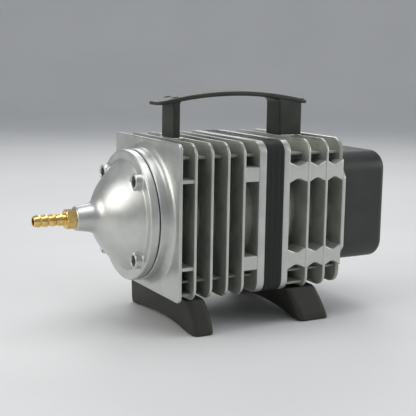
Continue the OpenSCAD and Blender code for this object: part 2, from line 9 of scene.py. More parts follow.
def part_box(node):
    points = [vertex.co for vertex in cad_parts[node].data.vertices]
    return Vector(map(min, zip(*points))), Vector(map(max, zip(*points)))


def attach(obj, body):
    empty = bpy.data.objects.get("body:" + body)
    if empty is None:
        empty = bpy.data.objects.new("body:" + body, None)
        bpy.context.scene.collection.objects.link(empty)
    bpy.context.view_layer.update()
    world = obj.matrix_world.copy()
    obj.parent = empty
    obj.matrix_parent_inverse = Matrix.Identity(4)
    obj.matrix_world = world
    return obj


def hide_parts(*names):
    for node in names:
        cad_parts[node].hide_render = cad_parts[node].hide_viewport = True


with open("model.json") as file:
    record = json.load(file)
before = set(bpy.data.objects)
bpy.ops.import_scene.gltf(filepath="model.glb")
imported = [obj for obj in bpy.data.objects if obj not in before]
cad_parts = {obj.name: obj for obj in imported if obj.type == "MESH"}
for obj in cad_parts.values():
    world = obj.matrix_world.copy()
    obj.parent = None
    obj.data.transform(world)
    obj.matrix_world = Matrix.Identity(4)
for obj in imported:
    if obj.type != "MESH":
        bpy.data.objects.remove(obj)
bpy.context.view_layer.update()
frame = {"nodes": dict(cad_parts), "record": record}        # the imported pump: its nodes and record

# ------------------------------------------------------------------ frame
# Stations count in millimetres along the pump from the face of its front plate, and
# heights and sides in millimetres from the pump's axis, as the CAD model counts them.
MM = 0.001
STACK_X = 82.0           # station of the stator stack's front face
FACE_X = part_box("stator_core")[0].x - STACK_X * MM
NOZZLE_LOW, NOZZLE_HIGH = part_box("outlet_nozzle")
AXIS_Z = (NOZZLE_LOW.z + NOZZLE_HIGH.z) / 2
PUMP = "pump"


def place(x, y, z):
    """Point in the frame from a station, a side and a height."""
    return Vector((FACE_X + x * MM, y * MM, AXIS_Z + z * MM))


def span(node, axis):
    """Lowest and highest coordinate of a CAD node along one axis, in millimetres."""
    low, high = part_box(node)
    shift = (FACE_X, 0.0, AXIS_Z)[axis]
    return (low[axis] - shift) / MM, (high[axis] - shift) / MM


BODY_W = span("stator_core", 1)[1] * 2
BODY_H = span("stator_core", 2)[1] * 2
CORNER = 11.0
STACK_END = span("stator_core", 0)[1]
FLANGE_X = 74.3
PLATE_T = 3.0
FIN_T = 2.5
FRONT_FINS = [15.05 * k - FIN_T / 2 for k in range(1, 5)]
REAR_FINS = (123.2, 141.8)
FRONT_END = span("front_housing", 0)[1]
BOSS_X = span("front_housing", 0)[0]
COVER_R = span("outlet_cover", 1)[1]
REAR_X, REAR_END = span("rear_housing", 0)
END_X = REAR_END - 3.8
COVER_X, COVER_END = span("rear_cover", 0)
TIE_Y, TIE_Z = 53.5, 37.5
LUG = 46.3 * math.sin(math.radians(45))
COVER_SEAT = -18.5       # station where the cover screws' heads rest
FRONT_FOOT_SCREW, REAR_FOOT_SCREW, FOOT_SCREW_Y = 22.0, 133.5, 38.0
BARREL_R, COIL_WALL_R = 44.0, 54.0


# ------------------------------------------------------------------ outlines
def rounded_rect(width, height, radius, steps=8, centre=(0.0, 0.0)):
    points = []
    for k, (sy, sz) in enumerate(((1, 1), (-1, 1), (-1, -1), (1, -1))):
        cy = centre[0] + sy * (width / 2 - radius)
        cz = centre[1] + sz * (height / 2 - radius)
        for i in range(steps + 1):
            a = math.radians(90 * (k + i / steps))
            points.append((cy + radius * math.cos(a), cz + radius * math.sin(a)))
    return points


def rounded_path(points, radii, steps=5, closed=True):
    """The polyline with each corner turned into an arc of the radius given for it."""
    out = []
    n = len(points)
    for i, point in enumerate(points):
        radius = radii[i] if isinstance(radii, (list, tuple)) else radii
        here = Vector(point)
        if radius <= 0 or (not closed and i in (0, n - 1)):
            out.append(tuple(here))
            continue
        back = Vector(points[i - 1]) - here
        ahead = Vector(points[(i + 1) % n]) - here
        room = 0.49 * min(back.length, ahead.length)
        back.normalize()
        ahead.normalize()
        corner = math.acos(max(-1.0, min(1.0, back.dot(ahead))))
        if corner > math.pi - 0.03:
            out.append(tuple(here))
            continue
        reach = min(radius / math.tan(corner / 2), room)
        radius = reach * math.tan(corner / 2)
        centre = here + (back + ahead).normalized() * radius / math.sin(corner / 2)
        start, end = here + back * reach - centre, here + ahead * reach - centre
        a0 = math.atan2(start.y, start.x)
        turn = math.atan2(end.y, end.x) - a0
        turn = (turn + math.pi) % (2 * math.pi) - math.pi
        for k in range(steps + 1):
            a = a0 + turn * k / steps
            out.append((centre.x + radius * math.cos(a), centre.y + radius * math.sin(a)))
    return out


def bezier(a, b, c, n=10):
    out = []
    for i in range(n + 1):
        t = i / n
        out.append(tuple((1 - t) ** 2 * p + 2 * t * (1 - t) * q + t * t * r for p, q, r in zip(a, b, c)))
    return out


def circle(radius, steps=48, centre=(0.0, 0.0)):
    angles = [2 * math.pi * i / steps for i in range(steps)]
    return [(centre[0] + radius * math.cos(a), centre[1] + radius * math.sin(a)) for a in angles]


def inset(points, distance):
    """The closed outline moved inwards by distance."""
    if not distance:
        return list(points)
    n = len(points)
    area = sum(points[i - 1][0] * points[i][1] - points[i][0] * points[i - 1][1] for i in range(n))
    side = 1 if area > 0 else -1
    out = []
    for i, (u, v) in enumerate(points):
        before = Vector((u - points[i - 1][0], v - points[i - 1][1]))
        after = Vector((points[(i + 1) % n][0] - u, points[(i + 1) % n][1] - v))
        before = before.normalized() if before.length > 1e-9 else after.normalized()
        after = after.normalized() if after.length > 1e-9 else before
        normal = Vector((-(before.y + after.y), before.x + after.x)) * side
        normal.normalize()
        lean = max(0.5, normal.dot(Vector((-after.y, after.x)) * side))
        out.append((u + normal.x * distance / lean, v + normal.y * distance / lean))
    return out


# ------------------------------------------------------------------ mesh tools
def add_object(name, points, faces):
    mesh = bpy.data.meshes.new(name)
    mesh.from_pydata([tuple(p) for p in points], [], faces)
    piece = bpy.data.objects.new(name, mesh)
    bpy.context.scene.collection.objects.link(piece)
    clean(piece)
    return piece


def clean(piece, merge=1e-7):
    """Joins doubled points and turns every face outwards."""
    bm = bmesh.new()
    bm.from_mesh(piece.data)
    bmesh.ops.remove_doubles(bm, verts=bm.verts, dist=merge)
    bmesh.ops.recalc_face_normals(bm, faces=bm.faces)
    bm.to_mesh(piece.data)
    bm.free()


def loft(name, rings, cyclic=False):
    """Skin over rings with equal counts. An open run of rings is capped at both ends."""
    n = len(rings[0])
    points = [p for ring in rings for p in ring]
    faces = []
    for i in range(len(rings) if cyclic else len(rings) - 1):
        a, b = i * n, ((i + 1) % len(rings)) * n
        for k in range(n):
            m = (k + 1) % n
            faces.append((a + k, a + m, b + m, b + k))
    if not cyclic:
        faces.append(tuple(range(n - 1, -1, -1)))
        faces.append(tuple((len(rings) - 1) * n + k for k in range(n)))
    return add_object(name, points, faces)


def to_frame(axis, along, u, v):
    """Frame point for a place along an axis and an outline point across it."""
    if axis == "x":
        return place(along, u, v)
    if axis == "y":
        return place(u, along, v)
    return place(u, v, along)


def stack(name, outline, levels, axis="x"):
    """Solid over one outline, given as (place along the axis, inset) levels."""
    return loft(name, [[to_frame(axis, at, *p) for p in inset(outline, by)] for at, by in levels])


def edge_levels(low, high, low_edge, high_edge, steps=3):
    """Levels that round the two rims of a prism by quarter circles."""
    def quarter(radius):
        if not radius:
            return [(0.0, 0.0)]
        angles = [math.pi / 2 * i / steps for i in range(steps + 1)]
        return [(radius * (1 - math.cos(a)), radius * (1 - math.sin(a))) for a in angles]
    start = [(low + rise, by) for rise, by in quarter(low_edge)]
    end = [(high - rise, by) for rise, by in reversed(quarter(high_edge))]
    return start + end


def prism(name, outline, low, high, axis="x", edge=0.0, edges=None, steps=3):
    first, last = edges if edges else (edge, edge)
    return stack(name, outline, edge_levels(low, high, first, last, steps), axis)


def lathe(name, profile, segments=96, centre=(0.0, 0.0)):
    """Solid of revolution of a closed (radius, station) profile about an axis along X."""
    rings = []
    for i in range(segments):
        a = 2 * math.pi * i / segments
        rings.append([
            place(x, centre[0] + r * math.cos(a), centre[1] + r * math.sin(a)) for r, x in profile])
    piece = loft(name, rings, cyclic=True)
    return piece


def rod(name, x0, x1, radius, centre=(0.0, 0.0), segments=48, edge=0.0):
    return prism(name, circle(radius, segments, centre), x0, x1, "x", edge)


def post(name, x, y, z0, z1, radius, segments=32):
    return prism(name, circle(radius, segments, (x, y)), z0, z1, "z")


def brick(name, low, high, edge=0.6):
    """Box with rounded edges between two corners."""
    outline = rounded_rect(high[1] - low[1], high[2] - low[2], edge, 3,
                           ((low[1] + high[1]) / 2, (low[2] + high[2]) / 2))
    return prism(name, outline, low[0], high[0], "x", edge * 0.9)


def freeze(piece):
    """Applies the modifiers."""
    bpy.context.view_layer.update()
    graph = bpy.context.evaluated_depsgraph_get()
    mesh = bpy.data.meshes.new_from_object(piece.evaluated_get(graph))
    old = piece.data
    piece.modifiers.clear()
    piece.data = mesh
    bpy.data.meshes.remove(old)


def combine(piece, tools, operation):
    for tool in tools:
        step = piece.modifiers.new("step", "BOOLEAN")
        step.operation = operation
        step.solver = "MANIFOLD"
        step.object = tool
    freeze(piece)
    for tool in tools:
        bpy.data.objects.remove(tool)
    clean(piece, 2e-6)
    return piece


def join_with(piece, tools):
    return combine(piece, tools, "UNION")


def cut(piece, tools):
    return combine(piece, tools, "DIFFERENCE")


def bevel(piece, width, angle=35, segments=2):
    step = piece.modifiers.new("bevel", "BEVEL")
    step.width = width * MM
    step.segments = segments
    step.limit_method = "ANGLE"
    step.angle_limit = math.radians(angle)
    step.miter_outer = "MITER_ARC"
    step.use_clamp_overlap = True
    freeze(piece)


def shade(piece, angle=32):
    """Smooth faces with sharp edges kept, and normals weighted towards the large faces."""
    bm = bmesh.new()
    bm.from_mesh(piece.data)
    limit = math.radians(angle)
    for face in bm.faces:
        face.smooth = True
    for edge in bm.edges:
        edge.smooth = len(edge.link_faces) == 2 and edge.calc_face_angle(0.0) < limit
    bm.to_mesh(piece.data)
    bm.free()
    step = piece.modifiers.new("normals", "WEIGHTED_NORMAL")
    step.keep_sharp = True
    freeze(piece)


def voxel_cast(piece, voxel, passes):
    """Melts the piece's hard corners together, as a casting's are."""
    step = piece.modifiers.new("cast", "REMESH")
    step.mode = "VOXEL"
    step.voxel_size = voxel * MM
    step.use_smooth_shade = True
    soften = piece.modifiers.new("soften", "SMOOTH")
    soften.factor = 0.5
    soften.iterations = passes
    freeze(piece)


def finish_piece(piece, body, material, slot, *nodes):
    piece.data.materials.clear()
    piece.data.materials.append(material)
    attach(piece, body)
    if nodes:
        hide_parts(*nodes)
    return piece


def merged(name, pieces):
    """One object from several, with their meshes kept apart."""
    bm = bmesh.new()
    for piece in pieces:
        bm.from_mesh(piece.data)
        bpy.data.objects.remove(piece)
    mesh = bpy.data.meshes.new(name)
    bm.to_mesh(mesh)
    bm.free()
    piece = bpy.data.objects.new(name, mesh)
    bpy.context.scene.collection.objects.link(piece)
    return piece


# ------------------------------------------------------------------ materials
class Surface:
    """A material whose nodes are added one line at a time."""

    def __init__(self, name):
        self.material = bpy.data.materials.new(name)
        self.material.use_nodes = True
        self.tree = self.material.node_tree
        self.tree.nodes.clear()
        self.shader = self.tree.nodes.new("ShaderNodeBsdfPrincipled")
        output = self.tree.nodes.new("ShaderNodeOutputMaterial")
        self.link(self.shader.outputs[0], output.inputs[0])
        self.where = self.tree.nodes.new("ShaderNodeTexCoord").outputs["Object"]

    def link(self, a, b):
        self.tree.links.new(a, b)

    def node(self, kind, settings=None, **inputs):
        made = self.tree.nodes.new(kind)
        for key, value in (settings or {}).items():
            setattr(made, key, value)
        for key, value in inputs.items():
            socket = made.inputs[int(key[1:])] if key[1:].isdigit() else made.inputs[key.replace("_", " ")]
            if hasattr(value, "is_output"):
                self.link(value, socket)
            else:
                socket.default_value = value
        return made.outputs[0]

    def noise(self, scale, detail=3.0, roughness=0.55, where=None):
        return self.node("ShaderNodeTexNoise", Vector=where or self.where, Scale=scale,
                         Detail=detail, Roughness=roughness)

    def math(self, operation, a, b=0.0, c=0.0):
        return self.node("ShaderNodeMath", {"operation": operation}, _0=a, _1=b, _2=c)

    def spread(self, value, low, high, to_low=0.0, to_high=1.0):
        return self.node("ShaderNodeMapRange", {"interpolation_type": "SMOOTHSTEP"}, Value=value,
                         From_Min=low, From_Max=high, To_Min=to_low, To_Max=to_high)

    def mix(self, share, a, b):
        made = self.tree.nodes.new("ShaderNodeMix")
        made.data_type = "RGBA"
        for socket, value in ((made.inputs["Factor"], share), (made.inputs[6], a), (made.inputs[7], b)):
            if hasattr(value, "is_output"):
                self.link(value, socket)
            else:
                socket.default_value = value if isinstance(value, float) else (*value, 1.0)
        return made.outputs[2]

    def stretched(self, scale):
        return self.node("ShaderNodeMapping", Vector=self.where, Scale=scale)

    def axes(self):
        made = self.tree.nodes.new("ShaderNodeSeparateXYZ")
        self.link(self.where, made.inputs[0])
        return made.outputs

    def bump(self, height, strength, distance, below=None):
        made = self.tree.nodes.new("ShaderNodeBump")
        made.inputs["Strength"].default_value = strength
        made.inputs["Distance"].default_value = distance
        self.link(height, made.inputs["Height"])
        if below is not None:
            self.link(below, made.inputs["Normal"])
        return made.outputs[0]

    def finish(self, color, roughness, normal=None, metallic=0.0, **fixed):
        for socket, value in (("Base Color", color), ("Roughness", roughness), ("Normal", normal),
                              ("Metallic", metallic)):
            if value is None:
                continue
            if hasattr(value, "is_output"):
                self.link(value, self.shader.inputs[socket])
            else:
                single = isinstance(value, float)
                self.shader.inputs[socket].default_value = value if single else (*value, 1.0)
        for key, value in fixed.items():
            self.shader.inputs[key.replace("_", " ")].default_value = value
        return self.material


def cast_alloy(name, bays):
    """Blasted die-cast aluminium. With bays, painted shade darkens the bays between the fins, more among the
    front fins than the rear ones, while their rims keep the bright alloy colour.
    """
    s = Surface(name)
    x, y, z = s.axes()
    mottle = s.noise(55.0, 4.0)
    grain = s.noise(1500.0, 2.0)
    stain = s.noise(14.0, 3.0)
    bright = s.mix(s.spread(mottle, 0.3, 0.7), (0.53, 0.54, 0.515), (0.63, 0.635, 0.61))
    bright = s.mix(s.spread(stain, 0.45, 0.75, 0.0, 0.35), bright, (0.43, 0.435, 0.40))
    color = bright
    rough = s.spread(mottle, 0.25, 0.75, 0.30, 0.42)
    metallic = 0.85
    if bays:
        side = s.math("ABSOLUTE", y)
        height = s.math("ABSOLUTE", s.math("SUBTRACT", z, AXIS_Z))
        to_side = s.math("SUBTRACT", BODY_W / 2 * MM, side)
        to_top = s.math("SUBTRACT", BODY_H / 2 * MM, height)
        depth = s.math("MINIMUM", to_side, to_top)
        depth = s.math("ADD", depth, s.spread(mottle, 0.3, 0.7, -0.0008, 0.0008))
        deep = s.spread(depth, 0.0006, 0.0032)
        behind = s.math("GREATER_THAN", x, FACE_X + 0.5 * MM)
        deep = s.math("MULTIPLY", deep, behind)
        # Painted shade: a darker colour stands in for the shade between the fins, darker among the front fins
        # than among the rear ones.
        front_painted_bay_shade = s.mix(s.spread(mottle, 0.3, 0.7), (0.20, 0.21, 0.18), (0.31, 0.325, 0.28))
        rear_painted_bay_shade = s.mix(s.spread(mottle, 0.3, 0.7), (0.27, 0.29, 0.245), (0.42, 0.44, 0.38))
        rear_share = s.spread(x, FACE_X + 98 * MM, FACE_X + 105 * MM)
        painted_bay_shade = s.mix(rear_share, front_painted_bay_shade, rear_painted_bay_shade)
        # The painted shade is mixed in by depth from the outline. The metallic value drops with it so the bays
        # take diffuse light.
        color = s.mix(s.math("MULTIPLY", deep, 0.95), bright, painted_bay_shade)
        rough = s.math("ADD", rough, s.math("MULTIPLY", deep, 0.2))
        metallic = s.math("SUBTRACT", 0.85, s.math("MULTIPLY", deep, 0.6))
    normal = s.bump(grain, 0.25, 0.00012)
    normal = s.bump(mottle, 0.25, 0.0004, normal)
    return s.finish(color, rough, normal, metallic=metallic)


def moulded(name, dark, light, rough, grain_scale=1400.0, depth=0.00012, specular=0.5):
    """Moulded black plastic with a fine spark-eroded texture and faint handling marks."""
    s = Surface(name)
    grain = s.noise(grain_scale, 2.0)
    marks = s.noise(28.0, 4.0)
    streaks = s.noise(60.0, 3.0, where=s.stretched((1.0, 1.0, 5.0)))
    color = s.mix(s.spread(marks, 0.35, 0.7), dark, light)
    roughness = s.math("ADD", s.spread(marks, 0.3, 0.7, rough - 0.06, rough + 0.05),
                       s.spread(streaks, 0.45, 0.7, 0.0, 0.05))
    return s.finish(color, roughness, s.bump(grain, 0.4, depth), Specular_IOR_Level=specular)


def rubber(name):
    s = Surface(name)
    grain = s.noise(900.0, 3.0)
    dust = s.noise(40.0, 5.0)
    up = s.tree.nodes.new("ShaderNodeSeparateXYZ")
    geometry = s.tree.nodes.new("ShaderNodeNewGeometry")
    s.link(geometry.outputs["Normal"], up.inputs[0])
    lying = s.math("MULTIPLY", s.spread(up.outputs[2], 0.3, 1.0), s.spread(dust, 0.4, 0.75))
    color = s.mix(s.spread(dust, 0.35, 0.7), (0.020, 0.021, 0.016), (0.034, 0.036, 0.027))
    color = s.mix(s.math("MULTIPLY", lying, 0.35), color, (0.14, 0.13, 0.11))
    return s.finish(color, s.spread(dust, 0.3, 0.7, 0.52, 0.7), s.bump(grain, 0.35, 0.0002))


def laminated():
    """Varnished stack of thin sheets, whose edges differ a little from sheet to sheet."""
    s = Surface("lamination")
    sheets = s.noise(1.0, 1.0, where=s.stretched((2000.0, 3.0, 3.0)))
    drips = s.noise(70.0, 4.0, where=s.stretched((2.5, 1.0, 0.35)))
    color = s.mix(s.spread(sheets, 0.35, 0.65), (0.006, 0.007, 0.006), (0.026, 0.028, 0.024))
    rough = s.spread(drips, 0.3, 0.7, 0.36, 0.54)
    return s.finish(color, rough, s.bump(drips, 0.3, 0.0003), Specular_IOR_Level=0.4)


def turned_metal(name, dark, light, rough, ring_scale=2600.0, tarnish=(0.3, 0.2, 0.08), share=0.35):
    """Metal turned about an axis along X, with fine tool rings."""
    s = Surface(name)
    rings = s.noise(1.0, 2.0, where=s.stretched((ring_scale, 12.0, 12.0)))
    patches = s.noise(190.0, 4.0)
    color = s.mix(s.spread(patches, 0.3, 0.7), light, dark)
    color = s.mix(s.spread(patches, 0.55, 0.8, 0.0, share), color, tarnish)
    roughness = s.math("ADD", s.spread(patches, 0.35, 0.75, rough, rough + 0.13),
                       s.spread(rings, 0.4, 0.7, 0.0, 0.05))
    return s.finish(color, roughness, s.bump(rings, 0.25, 0.00006), metallic=1.0)


def zinc(name, tint, rough):
    s = Surface(name)
    patches = s.noise(260.0, 3.0)
    scratches = s.noise(500.0, 2.0, where=s.stretched((1.0, 9.0, 1.0)))
    color = s.mix(s.spread(patches, 0.3, 0.7), tint, tuple(0.8 * c for c in tint))
    return s.finish(color, s.spread(patches, 0.3, 0.7, rough, rough + 0.15),
                    s.bump(scratches, 0.2, 0.00005), metallic=1.0)


def wound_wire():
    """Enamelled copper wire in close turns."""
    s = Surface("winding")
    turns = s.node("ShaderNodeTexWave", {"bands_direction": "Z"}, Vector=s.where, Scale=520.0,
                   Distortion=0.6)
    tone = s.noise(300.0, 2.0)
    # The colour bands darken the grooves between the turns as painted shade, matched to the bump of the turns.
    color = s.mix(turns, (0.16, 0.045, 0.015), (0.62, 0.25, 0.09))
    color = s.mix(s.spread(tone, 0.4, 0.8, 0.0, 0.4), color, (0.34, 0.10, 0.03))
    return s.finish(color, s.spread(tone, 0.3, 0.7, 0.22, 0.36), s.bump(turns, 0.7, 0.0002), metallic=0.7)


def plain_moulding(name, a, b, rough):
    s = Surface(name)
    cloud = s.noise(45.0, 3.0)
    grain = s.noise(1600.0, 2.0)
    return s.finish(s.mix(s.spread(cloud, 0.3, 0.7), a, b), s.spread(cloud, 0.3, 0.7, rough, rough + 0.12),
                    s.bump(grain, 0.3, 0.0001))


def open_foam():
    s = Surface("foam")
    cells = s.node("ShaderNodeTexVoronoi", Vector=s.where, Scale=620.0)
    # The dark cell centres are painted shade in the foam's pores, matched to the bump of the cells.
    color = s.mix(s.spread(cells, 0.0, 0.6), (0.006, 0.006, 0.006), (0.075, 0.075, 0.072))
    return s.finish(color, 0.92, s.bump(cells, 1.0, 0.001))


MATERIALS = {
    "cast_alloy": cast_alloy("cast_alloy", bays=False),
    "cast_alloy_painted_shade": cast_alloy("cast_alloy_painted_shade", bays=True),
    "brass": turned_metal("brass", (0.70, 0.44, 0.13), (0.90, 0.66, 0.27), 0.16),
    "machined_alloy": turned_metal("machined_alloy", (0.62, 0.63, 0.64), (0.76, 0.77, 0.78), 0.25,
                                   tarnish=(0.4, 0.4, 0.38)),
    "steel": zinc("steel", (0.60, 0.61, 0.62), 0.24),
    "black_steel": zinc("black_steel", (0.06, 0.06, 0.06), 0.35),
    "spring_steel": zinc("spring_steel", (0.36, 0.36, 0.38), 0.3),
    "lamination": laminated(),
    "magnet_iron": turned_metal("magnet_iron", (0.22, 0.22, 0.23), (0.36, 0.36, 0.37), 0.35,
                                tarnish=(0.12, 0.08, 0.06)),
    "bronze": turned_metal("bronze", (0.42, 0.26, 0.13), (0.58, 0.38, 0.2), 0.38),
    "winding": wound_wire(),
    "nylon": plain_moulding("nylon", (0.72, 0.70, 0.62), (0.80, 0.78, 0.71), 0.4),
    "wire_sleeve": plain_moulding("wire_sleeve", (0.36, 0.03, 0.03), (0.46, 0.05, 0.04), 0.35),
    "gasket": plain_moulding("gasket", (0.018, 0.018, 0.018), (0.035, 0.034, 0.032), 0.6),
    "ring_plastic": plain_moulding("ring_plastic", (0.12, 0.08, 0.05), (0.2, 0.14, 0.09), 0.35),
    "foam": open_foam(),
    "cover_plastic": moulded("cover_plastic", (0.017, 0.019, 0.017), (0.028, 0.031, 0.027), 0.42),
    "handle_plastic": moulded("handle_plastic", (0.018, 0.020, 0.014), (0.034, 0.037, 0.026), 0.4),
    "foot_rubber": rubber("foot_rubber"),
}


# ------------------------------------------------------------------ screws
def screw(name, at, direction, shank, head, head_height, length, recess="cross"):
    """Pan-head screw whose head seats at a frame point; direction is the way its shank goes."""
    profile = rounded_path(
        [(0.0, -head_height), (head * 0.62, -head_height), (head, -head_height * 0.35), (head, 0.0),
         (shank, 0.0), (shank, length - shank * 0.5), (shank * 0.5, length), (0.0, length)],
        [0.0, head * 0.5, head_height * 0.3, 0.12, 0.0, 0.1, 0.1, 0.0], 4, closed=False)
    rings = []
    segments = 32
    for i in range(segments):
        a = 2 * math.pi * i / segments
        rings.append([Vector((r * math.cos(a), r * math.sin(a), h)) for r, h in profile])
    piece = loft(name, rings, cyclic=True)
    tools = []
    if recess == "cross":
        for turn in (0, 1):
            w, t = head * 0.62, head * 0.15
            size = (w, t) if turn == 0 else (t, w)
            deep = -head_height * 0.35
            low = [Vector((x * 0.55, y * 0.8, deep)) for x, y in
                   ((size[0], size[1]), (-size[0], size[1]), (-size[0], -size[1]), (size[0], -size[1]))]
            high = [Vector((x * 1.05, y * 1.1, -head_height - 1)) for x, y in
                    ((size[0], size[1]), (-size[0], size[1]), (-size[0], -size[1]), (size[0], -size[1]))]
            tools.append(loft(name + "_slot", [low, high]))
    else:
        ring = [Vector((x, y, 0)) for x, y in circle(head * 0.5, 6)]
        low = [p + Vector((0, 0, -head_height * 0.35)) for p in ring]
        high = [p + Vector((0, 0, -head_height - 1)) for p in ring]
        tools.append(loft(name + "_hex", [low, high]))
    cut(piece, tools)
    turn = Vector((0, 0, 1)).rotation_difference(Vector(direction)).to_matrix().to_4x4()
    piece.data.transform(Matrix.Translation(at) @ turn @ Matrix.Scale(MM, 4))
    shade(piece)
    return piece


def corners(y, z):
    return [(sy * y, sz * z) for sy in (-1, 1) for sz in (-1, 1)]


# ------------------------------------------------------------------ outlet end
def build_nozzle():
    """Brass barb with a chamfered hexagon and a threaded tail."""
    tip = span("outlet_nozzle", 0)[0]
    tail = span("outlet_nozzle", 0)[1]
    spout = span("outlet_cover", 0)[0]
    hexagon = spout - 8
    barb_r, bore, pitch = 5.2, 3.0, 6.2
    profile = [(bore, tip), (barb_r - 1.1, tip)]
    radii = [0.3, 0.5]
    for k in range(4):
        x = tip + k * pitch
        if k:
            profile.append((barb_r - 0.9, x))
            radii.append(0.3)
        profile += [(barb_r, x + 3.9), (barb_r, x + 5.3)]
        radii += [0.5, 0.25]
    profile += [(barb_r - 0.6, hexagon - 1.6), (barb_r - 0.6, hexagon + 1), (bore, hexagon + 1)]
    radii += [0.4, 0.0, 0.0]
    barb = lathe("outlet_nozzle_brass", rounded_path(profile, radii, 3), 96)
    nut = prism("nut", circle(7.5 / math.cos(math.radians(30)), 6), hexagon, spout)
    chamfer = lathe("chamfer", rounded_path(
        [(0.0, hexagon - 0.01), (7.4, hexagon - 0.01), (8.7, hexagon + 1.1), (8.7, spout - 0.8),
         (7.9, spout + 0.01), (0.0, spout + 0.01)], 0.0, 1, closed=False), 96)
    combine(nut, [chamfer], "INTERSECT")
    thread = [(4.6, spout - 1)]
    for k in range(5):
        thread += [(5.9, spout + k * 1.6), (6.35, spout + k * 1.6 + 0.8)]
    thread += [(5.6, tail - 0.5), (5.2, tail), (4.0, tail), (4.0, spout - 1)]
    tail_piece = lathe("tail", thread, 64)
    join_with(barb, [nut, tail_piece])
    cut(barb, [rod("bore", tip - 1, tail + 1, bore, segments=48)])
    bevel(barb, 0.18, 40, 2)
    shade(barb, 40)
    return finish_piece(barb, PUMP, MATERIALS["brass"], "brass", "outlet_nozzle")


def build_outlet_cover():
    """Bell-shaped casting with four screw lugs, cast as one melted form."""
    front = span("outlet_cover", 0)[0]
    back = span("outlet_cover", 0)[1]
    lug_top = -26.5
    outline = (
        [(6.4, front), (9.2, front), (10.0, front + 0.9), (11.7, -54.0)]
        + bezier((12.0, -52.5), (12.8, -47.8), (18.5, -44.6))
        + bezier((18.9, -44.4), (33.5, -37.4), (47.0, -20.0), 16)
        + rounded_path([(46.9, -20.2), (COVER_R, -20.2), (COVER_R, back)], [0, 1.6, 0], 4, closed=False)[1:]
        + [(40.0, back)]
        + bezier((40.0, -18.0), (33.0, -34.5), (17.5, -40.5))
        + [(8.0, -46.0), (8.0, -53.0), (6.4, -53.0)])
    cover = lathe("outlet_cover_casting", outline, 160)
    lugs = [rod("lug", lug_top, back, 6.6, (y, z), 48, 0.0) for y, z in corners(LUG, LUG)]
    for lug in lugs:
        cut(lug, [rod("inside", lug_top - 1, back + 1, 40.5, segments=96)])
    join_with(cover, lugs)
    tools = []
    for y, z in corners(LUG, LUG):
        tools += [rod("well", -44, COVER_SEAT, 4.4, (y, z)),
                  rod("hole", COVER_SEAT - 1, back + 1, 2.2, (y, z))]
    cut(cover, tools)
    voxel_cast(cover, 0.55, 3)
    flat_back(cover, back)
    return finish_piece(cover, PUMP, MATERIALS["cast_alloy"], "cast_alloy", "outlet_cover")


def flat_back(piece, back):
    """Keeps a softened casting in front of the plane that it is bolted to."""
    limit = place(back, 0, 0).x
    for v in piece.data.vertices:
        if v.co.x > limit - 0.35 * MM:
            v.co.x = limit


def build_cover_screws():
    made = [screw("cover_screw", place(COVER_SEAT, y, z), (1, 0, 0), 2.0, 3.5, 2.7, 14.5)
            for y, z in corners(LUG, LUG)]
    return finish_piece(merged("cover_screw_set", made), PUMP, MATERIALS["black_steel"], "steel",
                        "cover_screws")


# ------------------------------------------------------------------ housings
def fin(name, x, thickness, outline, edge=0.75):
    return prism(name, outline, x, x + thickness, "x", edge)


def corner_webs(x0, x1):
    """Thin webs between the fins near their corners."""
    return [brick("web", (x0, side * 42.75 - 11.25, z - 1), (x1, side * 42.75 + 11.25, z + 1), 0.5)
            for side in (-1, 1) for z in (52.5, -49.5)]


def foot_web(x0, x1):
    return brick("foot_web", (x0, -58, -61), (x1, 58, -58.5), 0.6)


def build_front_housing():
    outline = rounded_rect(BODY_W, BODY_H, CORNER)
    plate = prism("front_housing_casting", rounded_rect(BODY_W, BODY_H, 5), 0, PLATE_T, "x", 0.8)
    sweep = [(62 + 6 * math.cos(math.radians(a)), -6 + 6 * math.sin(math.radians(a)))
             for a in range(180, 89, -10)]
    rim = rounded_path([(0.0, BOSS_X), (56.0, BOSS_X), (56.0, -6.0)], [0, 1.2, 0], 4, False)
    boss = lathe("boss", rim + sweep[1:] + [(62.0, 2.0), (0.0, 2.0)], 160)
    parts = [boss]
    parts += [fin("fin", x, FIN_T, outline) for x in FRONT_FINS]
    parts += [rod("barrel", 2, 70, BARREL_R, segments=96),
              rod("coil_wall", 63, FLANGE_X + 1, COIL_WALL_R, segments=96, edge=0.9),
              prism("flange", outline, FLANGE_X, FRONT_END, "x", 0.9)]
    parts += corner_webs(2, FLANGE_X + 2)
    parts.append(foot_web(2, 15))
    for side in (-1, 1):
        for z in (34.5, -37.0):
            low_y, high_y = sorted((side * 24, side * 63))
            parts.append(brick("short_web", (2, low_y, z - 1.5), (15.5, high_y, z + 1.5), 0.6))
    for y, z in corners(52, TIE_Z):
        parts.append(brick("bolt_block", (60, y - 11.5, z - 6.2), (FLANGE_X + 1, y + 11.5, z + 6.2), 1.3))
    parts.append(brick("handle_landing", (17.5, -13, 35), (29.5, 13, BODY_H / 2), 0.8))
    parts += [post("foot_landing", FRONT_FOOT_SCREW, side * FOOT_SCREW_Y, -BODY_H / 2, -20, 6.5)
              for side in (-1, 1)]
    join_with(plate, parts)
    core = [(0.0, BOSS_X - 1), (41.3, BOSS_X - 1), (41.3, -5), (33.55, -5), (33.55, 0), (30.55, 0),
            (30.55, 66), (49.5, 66), (49.5, FRONT_END + 1), (0.0, FRONT_END + 1)]
    tools = [lathe("core", core, 96)]
    tools += [rod("tap", BOSS_X - 1, 1.5, 2.05, (y, z), 24) for y, z in corners(LUG, LUG)]
    tools += [rod("tap", 63, FRONT_END + 1, 2.55, (y, z), 24) for y, z in corners(TIE_Y, TIE_Z)]
    tools += [post("tap", FRONT_FOOT_SCREW, side * FOOT_SCREW_Y, -BODY_H / 2 - 1, -BODY_H / 2 + 14, 2.55)
              for side in (-1, 1)]
    tools += [post("tap", 23.5, side * 7, 50, 70, 2.05) for side in (-1, 1)]
    cut(plate, tools)
    shade(plate, 30)
    return finish_piece(plate, PUMP, MATERIALS["cast_alloy_painted_shade"], "cast_alloy", "front_housing")


